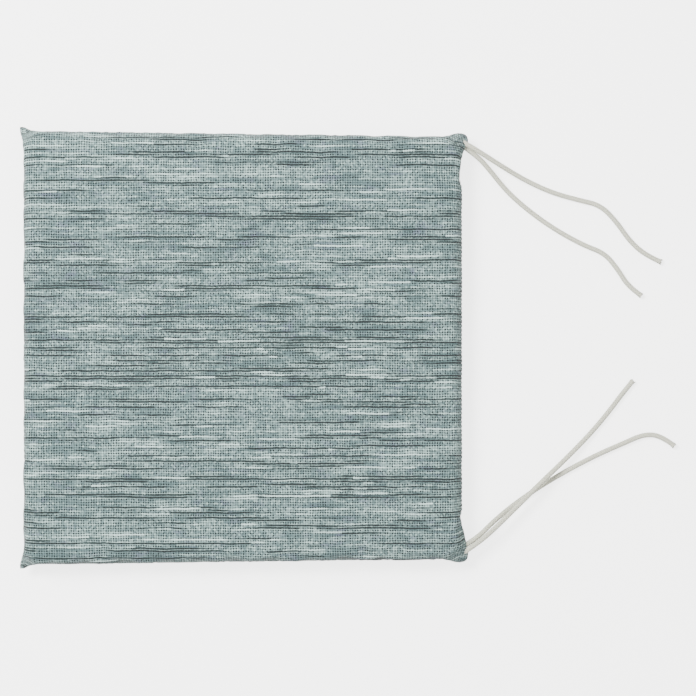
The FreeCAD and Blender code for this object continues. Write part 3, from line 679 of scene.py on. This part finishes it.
def cover_finish():
    """Coarse plain weave, slubby picks, pale and slate streaks, and painted shade in the gaps, darkest between
    some picks.
    """
    finish = Finish("cover_cloth")
    u, v = finish.flat_cut()
    sway = finish.noise(finish.join(u * 40.0, v * 40.0), 1.0, 2.0) - 0.5
    jostle = finish.noise(finish.join(u * 330.0, v * 330.0, 21.0), 1.0, 1.0) - 0.5
    warp = u * (1 / WARP_PITCH) + sway * 0.9 + jostle * 0.26
    weft = v * (1 / WEFT_PITCH) + sway * 0.9 + jostle * 0.2
    warp_id, weft_id, line_id = warp.floor(), weft.floor(), (weft + 0.5).floor()
    across, along = warp.fract() - 0.5, weft.fract() - 0.5
    over = (warp_id + weft_id) % 2.0
    luck = finish.chance(finish.join(weft_id, 1.0))
    short_run = finish.chance(finish.join((u * 26.0 + luck * 9.0).floor(), weft_id, 2.0))
    long_run = finish.chance(finish.join((u * 10.0 + luck * 31.0).floor(), weft_id, 3.0))
    drift = finish.noise(finish.join(u * 24.0, weft_id * 5.3, 7.0), 1.0, 1.0)
    tone = short_run * 0.35 + long_run * 0.3 + drift.stretch(0.3, 0.7) * 0.35
    slub = tone.stretch(0.66, 0.86)
    # Broken lines between some picks, where the gap opens wider and its painted shadow is deeper.
    streak = finish.noise(finish.join(u * 12.0, line_id * 3.7, 11.0), 1.0, 1.0)
    gap_shadow_line = (streak + finish.chance(finish.join(line_id, 4.0)) * 0.3 - slub * 0.2).stretch(0.68, 0.77)
    between_ends = across.size().stretch(0.03, 0.26)
    between_picks = (along.size() - slub * 0.08 + gap_shadow_line * 0.07).stretch(0.03, 0.27)
    hole_id = finish.join((warp + 0.5).floor(), line_id, 6.0)
    hole = between_ends * between_picks * finish.chance(hole_id).stretch(0.0, 0.6, 0.7, 1.0)
    patch = finish.noise(finish.join(u * 28.0, v * 45.0, 5.0), 1.0, 2.0)
    tinge = finish.noise(finish.join(u * 60.0, v * 60.0, 8.0), 1.0, 1.0)
    fibres = finish.noise(finish.join(u * 2400.0, v * 2400.0), 1.0, 2.0, 0.7)
    dull = finish.blend(tinge.stretch(0.5, 0.7), YARN_SLATE, YARN_MAUVE)
    pick = finish.blend(tone.stretch(0.05, 0.35), YARN_INK, dull)
    pick = finish.blend(tone.stretch(0.3, 0.62), pick, YARN_MINT)
    pick = finish.blend(slub, pick, YARN_PALE)
    end = finish.blend(patch.stretch(0.38, 0.62), YARN_MINT, dull)
    on_top = over * (1 - between_picks) + between_picks * 0.8
    colour = finish.blend(on_top, pick, finish.blend(tone, end, pick))
    crossing = finish.chance(finish.join(warp_id, weft_id, 9.0))
    colour = finish.blend(crossing.stretch(0.3, 1.0) * (1 - slub) * 0.8, colour, YARN_SLATE)
    colour = finish.blend(fibres.stretch(0.35, 0.75) * 0.25, colour, YARN_PALE)
    # Painted shade: the gaps between yarns and between warp ends are darkened towards near black, most along the
    # shadow lines.
    groove = between_picks * (gap_shadow_line * 0.44 + 0.53)
    shade = hole.larger(groove).larger(between_ends * (0.5 - slub * 0.32))
    colour = finish.blend(shade, colour, SHADE_BETWEEN_YARNS)
    weft_lift = (along * math.pi).wave() * ((1 - over) * 0.55 + 0.45 + slub * 0.3) * (1 - between_picks)
    warp_lift = (across * math.pi).wave() * (over * 0.6 + 0.35) * (1 - between_ends)
    height = weft_lift.larger(warp_lift) + fibres * 0.16
    return finish.surface(colour, 0.92, height, 0.00045, Sheen_Weight=0.12, Sheen_Roughness=0.6)


cover_cloth = cover_finish()


def cover_panel(name, points, faces, cut):
    """One panel of the cover, as thick as its cloth."""
    panel = add_mesh(name + "_cloth", points.reshape(-1, 3), faces, cover_cloth, cut)
    thickness = panel.modifiers.new("cloth", "SOLIDIFY")
    thickness.thickness = CLOTH
    thickness.offset = -1.0
    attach(panel, "pad")
    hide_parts(name)
    return panel


PULL_BEHIND = 0.1976
PULL_HALF_HEIGHT = 0.0040
PULL_END = 0.161
SLOT_END = 0.1485
RISE_BESIDE = 1.5
RISE_PAST = 0.8
RISE_TO_SLOT = 4


def room_for_pull(points):
    """The cloth pressed in at each end of the slot, where the zip's pull lies flat against it."""
    beside = np.maximum(np.abs(points[..., 2] - HALF_HEIGHT) - PULL_HALF_HEIGHT, 0)
    away = np.abs(points[..., 1])
    past = np.maximum(away - PULL_END, 0) + RISE_TO_SLOT * np.maximum(SLOT_END - away, 0)
    room = PULL_BEHIND + RISE_BESIDE * beside + RISE_PAST * past
    points[..., 0] = np.minimum(points[..., 0], room)
    return points


top_points, top_faces, top_cut, held_still = panel_shape(True)
bottom_points, bottom_faces, bottom_cut, _ = panel_shape(False)
top_points, bottom_points = swollen(top_points, bottom_points, held_still)
bottom_points[..., 2] = np.maximum(bottom_points[..., 2], OFF_FLOOR)
top_points, bottom_points = room_for_pull(top_points), room_for_pull(bottom_points)
top_panel = cover_panel("cover_top_panel", top_points, top_faces, top_cut)
bottom_panel = cover_panel("cover_bottom_panel", bottom_points, bottom_faces, bottom_cut)


# The foam: one slab of open-celled seat foam, cut square with eased edges and clear of the zip's slider. It fills
# the cover, and only a thin line of it can be seen, between the zip's two tapes.

FOAM_FROM_CLOTH = 0.0003
FOAM_BEHIND_ZIP = 0.0004
FOAM_SHORT = 0.0008
FOAM_EDGE = 0.0075
FOAM_WAVES = (71.0, 63.0)
FOAM_WAVE_HEIGHT = 0.00015


def foam_finish():
    """Cream foam, full of small open cells, with painted shade darkening each cell's hollow."""
    finish = Finish("seat_foam")
    place = finish.node("ShaderNodeTexCoord", None, None, output=3)
    cells = finish.node("ShaderNodeTexVoronoi", None, {"Vector": place, "Scale": 700.0})
    depth = cells.stretch(0.1, 0.6)
    # Painted shade: the colour darkens into each cell's hollow, where the bump sinks.
    colour = finish.blend(depth, (0.52, 0.46, 0.33, 1.0), (0.84, 0.79, 0.64, 1.0))
    return finish.surface(colour, 0.95, depth, 0.0005)


def foam_slab():
    """The slab, with its edges eased and its faces a little uneven, as cut foam is."""
    low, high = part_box("foam_core")
    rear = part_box("zip_slider")[0].x - FOAM_BEHIND_ZIP
    mesh = bpy.data.meshes.new("seat_foam")
    slab = bpy.data.objects.new("seat_foam", mesh)
    bpy.context.scene.collection.objects.link(slab)
    shape = bmesh.new()
    bmesh.ops.create_cube(shape, size=1.0)
    for vert in shape.verts:
        back = vert.co.x > 0
        half_wide = high.y - (REAR_NARROWER if back else 0.0) - FOAM_SHORT
        vert.co.x = rear if back else low.x + FOAM_SHORT
        vert.co.y = (1 if vert.co.y > 0 else -1) * half_wide
        vert.co.z = high.z - FOAM_FROM_CLOTH if vert.co.z > 0 else low.z + FOAM_FROM_CLOTH
    bmesh.ops.bevel(shape, geom=shape.edges[:], offset=FOAM_EDGE, segments=6, profile=0.5, affect="EDGES")
    bmesh.ops.subdivide_edges(shape, edges=[e for e in shape.edges if e.calc_length() > 0.05], cuts=40,
                              use_grid_fill=True)
    for vert in shape.verts:
        waves = math.sin(vert.co.x * FOAM_WAVES[0] + 1.3) * math.sin(vert.co.y * FOAM_WAVES[1] + 0.4)
        wobble = waves * FOAM_WAVE_HEIGHT
        vert.co.z += wobble if vert.co.z > HALF_HEIGHT else -wobble
    for face in shape.faces:
        face.smooth = True
    shape.to_mesh(mesh)
    shape.free()
    mesh.materials.append(foam_finish())
    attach(slab, "pad")
    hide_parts("foam_core")
    return slab


slab = foam_slab()


# The seam: one line of lockstitches all round the edge where the two panels meet, from one end of the zip to
# the other. It is a spun polyester thread, and shows in the groove between the panels.

SEAM_STITCH = 0.0024
SEAM_PITCH = 0.0031
SEAM_SUNK = 0.0002
SEAM_FROM_SLOT = 0.006
THREAD = 0.0005
THREAD_SUNK = 0.55
THREAD_SIDES = 6
THREAD_RINGS = 7


def thread_finish():
    """Grey-green spun thread with its twist, and painted shade in the grooves of the twist."""
    finish = Finish("sewing_thread")
    along, across = finish.flat_cut()
    twist = ((along * 5200.0 + across * 4000.0) % 1.0 - 0.5).size() * 2.0
    # Painted shade: the colour darkens into the grooves of the twist, where the bump sinks.
    colour = finish.blend(twist, (0.34, 0.42, 0.41, 1.0), (0.14, 0.19, 0.19, 1.0))
    return finish.surface(colour, 0.6, 1 - twist, 0.0001, Sheen_Weight=0.2)


sewing_thread = thread_finish()


def stitches(name, ends, facing, node):
    """Rounded stitches, each dipping into the cloth at its two ends; facing points out of the cloth."""
    sides, rings = THREAD_SIDES, THREAD_RINGS
    share = np.linspace(0.0, 1.0, rings)
    rise = np.sqrt(np.maximum(0.0, 1 - (2 * share - 1) ** 4))
    verts, faces, cut = [], [], []
    for k, ((start, stop), out) in enumerate(zip(ends, facing)):
        line = start + (stop - start) * share[:, None] + out * ((rise - THREAD_SUNK) * THREAD)[:, None]
        way = np.gradient(line, axis=0)
        way /= np.linalg.norm(way, axis=1)[:, None]
        up = out - way * (way @ out)[:, None]
        up /= np.linalg.norm(up, axis=1)[:, None]
        base = k * rings * sides
        faces += [[base + i for i in face] for face in skin_of(rings, sides)]
        verts.append(swept(line, way, up, THREAD, THREAD, sides))
        around = np.tile(np.arange(sides) / sides * math.pi * THREAD, rings)
        cut.append(np.stack([np.repeat(share * np.linalg.norm(stop - start), sides), around], 1))
    made = add_mesh(name, np.concatenate(verts), faces, sewing_thread, np.concatenate(cut))
    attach(made, "pad")
    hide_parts(node)


def seam_line():
    """Points along the seam, round from one end of the zip to the other, with their outward directions."""
    shape = bmesh.new()
    shape.from_mesh(top_panel.data)
    points = np.array([v.co for v in shape.verts if v.is_boundary])
    shape.free()
    middle = np.array([(FRONT_WALL + REAR_WALL) / 2, 0.0, HALF_HEIGHT])
    sewn = ~((points[:, 0] > middle[0]) & (np.abs(points[:, 1]) < HALF_OPENING + SEAM_FROM_SLOT))
    points = points[sewn]
    turn = np.arctan2(points[:, 1] - middle[1], points[:, 0] - middle[0]) % (2 * math.pi)
    line, _ = evenly(points[np.argsort(turn)], SEAM_PITCH)
    way = np.gradient(line, axis=0)
    out = np.cross(way, (0.0, 0.0, 1.0))
    out /= np.linalg.norm(out, axis=1)[:, None]
    return line, out


seam, seam_out = seam_line()
seam_way = np.diff(seam, axis=0)
seam_way /= np.linalg.norm(seam_way, axis=1)[:, None]
seam_starts = seam[:-1] - seam_out[:-1] * SEAM_SUNK
seam_ends = [(a, a + way * SEAM_STITCH) for a, way in zip(seam_starts, seam_way)]
stitches("seam_stitches", seam_ends, seam_out[:-1], "seam_thread")


# The zip's tapes: two long strips of dull woven tape, set back in the rear side. Each is sewn behind one panel's
# hem by its outer edge, and carries one of the zip's coils.

TAPE_PITCH = 0.0012
TAPE_PICK = 0.0009
TAPE_ROWS = 160
TAPE_COLUMNS = 8
TAPE_SET_BACK = 0.00004
TAPE_WAVE = 0.00003


def tape_finish():
    """Dull grey-green woven tape, ribbed along its length, with painted shade in the hollows of its weave."""
    finish = Finish("zip_tape")
    along, across = finish.flat_cut()
    ribs = (across * (2 * math.pi / TAPE_PITCH)).wave() * 0.5 + 0.5
    picks = (along * (2 * math.pi / TAPE_PICK) + (across * 1700.0).floor() * math.pi).wave() * 0.5 + 0.5
    # Painted shade: the colour darkens where the ribs and picks sink, in the hollows of the weave.
    colour = finish.blend(ribs * picks, (0.10, 0.13, 0.13, 1.0), (0.24, 0.30, 0.295, 1.0))
    return finish.surface(colour, 0.85, ribs * 0.5 + picks * 0.5, 0.00015)


zip_tape_cloth = tape_finish()


def zip_tape(node):
    """One tape: a long strip of ribbed cloth, a touch wavy, as thick as its node."""
    low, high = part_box(node)
    ys = np.linspace(low.y, high.y, TAPE_ROWS + 1)
    zs = np.linspace(low.z, high.z, TAPE_COLUMNS + 1)
    y, z = np.meshgrid(ys, zs, indexing="ij")
    x = high.x - TAPE_SET_BACK + TAPE_WAVE * np.sin(y * 90.0)
    points = np.stack([x, y, z], -1).reshape(-1, 3)
    i, j = np.meshgrid(np.arange(TAPE_ROWS), np.arange(TAPE_COLUMNS), indexing="ij")
    across = TAPE_COLUMNS + 1
    a = i * across + j
    faces = np.stack([a, a + across, a + across + 1, a + 1], -1).reshape(-1, 4).tolist()
    tape = add_mesh(node + "_strip", points, faces, zip_tape_cloth, points[:, 1:])
    thickness = tape.modifiers.new("cloth", "SOLIDIFY")
    thickness.thickness = (high.x - low.x) * 0.9
    thickness.offset = -1.0
    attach(tape, "pad")
    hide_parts(node)


for node in ("zip_tape_upper", "zip_tape_lower"):
    zip_tape(node)


# The zip's coils: two lengths of stiff nylon filament wound flat, one sewn along the inner edge of each tape.
# Their turns are half a pitch apart, and stop short of each other so that the slider's post can pass.

COIL_PITCH = 0.0014
COIL_WIRE = 0.00056
COIL_FLAT = 0.86
COIL_LEAN = 0.1
COIL_STEPS = 16
COIL_SIDES = 7
COIL_HEAD = 0.00022


def coil_finish():
    """Stiff nylon filament: grey-green, smooth, faintly drawn along its length."""
    finish = Finish("zip_coil")
    along, across = finish.flat_cut()
    drawn = finish.noise(finish.join(along * 300.0, across * 6000.0), 1.0, 2.0)
    colour = finish.blend(drawn.stretch(0.35, 0.65), (0.12, 0.16, 0.155, 1.0), (0.20, 0.25, 0.245, 1.0))
    return finish.surface(colour, drawn * 0.15 + 0.32, drawn, 0.00003)


zip_coil_nylon = coil_finish()


def zip_coil(node, side, shift):
    """One coil: a flattened helix of filament that stands on its tape, with heads towards the other coil."""
    low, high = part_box(node)
    turns = (high.y - low.y) / COIL_PITCH - 1
    t = np.linspace(0.0, turns, int(turns * COIL_STEPS))
    turn = 2 * math.pi * t
    reach = (high.z - low.z - COIL_WIRE) / 2 + COIL_HEAD / 2
    middle = (low.z + high.z) / 2 - side * COIL_HEAD / 2
    height = (high.x - low.x - COIL_WIRE) / 2
    line = np.stack([
        (low.x + high.x) / 2 + height * np.cos(turn),
        low.y + COIL_PITCH / 2 + COIL_PITCH * (t + shift) + COIL_LEAN * COIL_PITCH * np.sin(2 * turn),
        middle + side * reach * np.sin(turn),
    ], 1)
    line = line[line[:, 1] < high.y - COIL_WIRE]
    way = np.gradient(line, axis=0)
    way /= np.linalg.norm(way, axis=1)[:, None]
    centre = np.full(len(line), (low.x + high.x) / 2)
    out = line - np.stack([centre, line[:, 1], np.full(len(line), middle)], 1)
    out -= way * (way * out).sum(1)[:, None]
    out /= np.linalg.norm(out, axis=1)[:, None]
    ring = swept(line, way, out, COIL_WIRE, COIL_WIRE * COIL_FLAT, COIL_SIDES)
    run = np.concatenate([[0.0], np.cumsum(np.linalg.norm(np.diff(line, axis=0), axis=1))])
    around = np.tile(np.arange(COIL_SIDES) * COIL_WIRE / 2, len(line))
    cut = np.stack([np.repeat(run, COIL_SIDES), around], 1)
    coil = add_mesh(node + "_turns", ring, skin_of(len(line), COIL_SIDES), zip_coil_nylon, cut)
    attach(coil, "pad")
    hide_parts(node)


zip_coil("zip_coil_upper", 1, 0.0)
zip_coil("zip_coil_lower", -1, 0.5)


# The zip's metal: the slider with its bridge, the pull tab that hangs on it, two top stops and one bottom stop.
# They are cast in zinc and enamelled. The slider runs along the coils, and the stops are clamped on their ends.

STOP_EDGE = 0.0003
SLIDER_EDGE = 0.00018
PULL_EDGE = 0.0003


def metal_finish():
    """Grey-green enamelled zinc, faintly scuffed."""
    finish = Finish("zip_metal")
    place = finish.node("ShaderNodeTexCoord", None, None, output=3)
    grain = finish.noise(place, 2500.0, 3.0, 0.6)
    scuffs = finish.noise(place, 420.0, 2.0).stretch(0.45, 0.75)
    colour = finish.blend(grain.stretch(0.3, 0.7) * 0.4, (0.21, 0.25, 0.245, 1.0), (0.28, 0.32, 0.31, 1.0))
    colour = finish.blend(scuffs * 0.3, colour, (0.34, 0.37, 0.36, 1.0))
    roughness = 0.46 - scuffs * 0.06 + grain * 0.12
    return finish.surface(colour, roughness, grain, 0.00001, Metallic=0.35)


zip_metal = metal_finish()


def soften(node, name, body, width):
    """A metal piece of the zip with its cast edges eased."""
    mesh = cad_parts[node].data.copy()
    mesh.name = name
    piece = bpy.data.objects.new(name, mesh)
    bpy.context.scene.collection.objects.link(piece)
    shape = bmesh.new()
    shape.from_mesh(mesh)
    bmesh.ops.remove_doubles(shape, verts=shape.verts, dist=1e-6)
    bmesh.ops.dissolve_limit(shape, angle_limit=math.radians(2), verts=shape.verts, edges=shape.edges)
    for face in shape.faces:
        face.smooth = True
    shape.to_mesh(mesh)
    shape.free()
    mesh.materials.clear()
    mesh.materials.append(zip_metal)
    eased = piece.modifiers.new("eased", "BEVEL")
    eased.width = width
    eased.segments = 3
    eased.limit_method = "ANGLE"
    eased.angle_limit = math.radians(40)
    eased.harden_normals = True
    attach(piece, body)
    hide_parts(node)


soften("zip_top_stops", "zip_top_stop_clamps", "pad", STOP_EDGE)
soften("zip_bottom_stop", "zip_bottom_stop_clamp", "pad", STOP_EDGE)
soften("zip_slider", "zip_slider_body", "slider", SLIDER_EDGE)
soften("zip_pull", "zip_pull_tab", "pull_tab", PULL_EDGE)


# The stitches beside the zip: one row along the upper hem and one along the lower, through the cloth and the tape
# behind it. They are of the same thread as the seam, and sit on the cloth as it bulges.

HEM_STITCH = 0.003
HEM_PITCH = 0.004
HEM_ROW_INSET = 0.0008
OUTSIDE = 0.3


def hem_stitches():
    """Where each stitch of the two rows starts and ends on the cloth, and the way out of it."""
    low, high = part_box("zip_stitching")
    ends, facing = [], []
    count = int((high.y - low.y + HEM_PITCH - HEM_STITCH) / HEM_PITCH + 0.5)
    for panel, height in ((top_panel, high.z - HEM_ROW_INSET), (bottom_panel, low.z + HEM_ROW_INSET)):
        corners = [vert.co for vert in panel.data.vertices]
        cloth = BVHTree.FromPolygons(corners, [face.vertices for face in panel.data.polygons])
        for k in range(count):
            spots = []
            for y in (low.y + k * HEM_PITCH, low.y + k * HEM_PITCH + HEM_STITCH):
                hit, out, _, _ = cloth.ray_cast(Vector((OUTSIDE, y, height)), Vector((-1.0, 0.0, 0.0)))
                spots.append(np.array(hit))
            ends.append(spots)
            facing.append(np.array(out if out.x > 0 else -out))
    return ends, facing


stitches("zip_hem_stitches", *hem_stitches(), "zip_stitching")
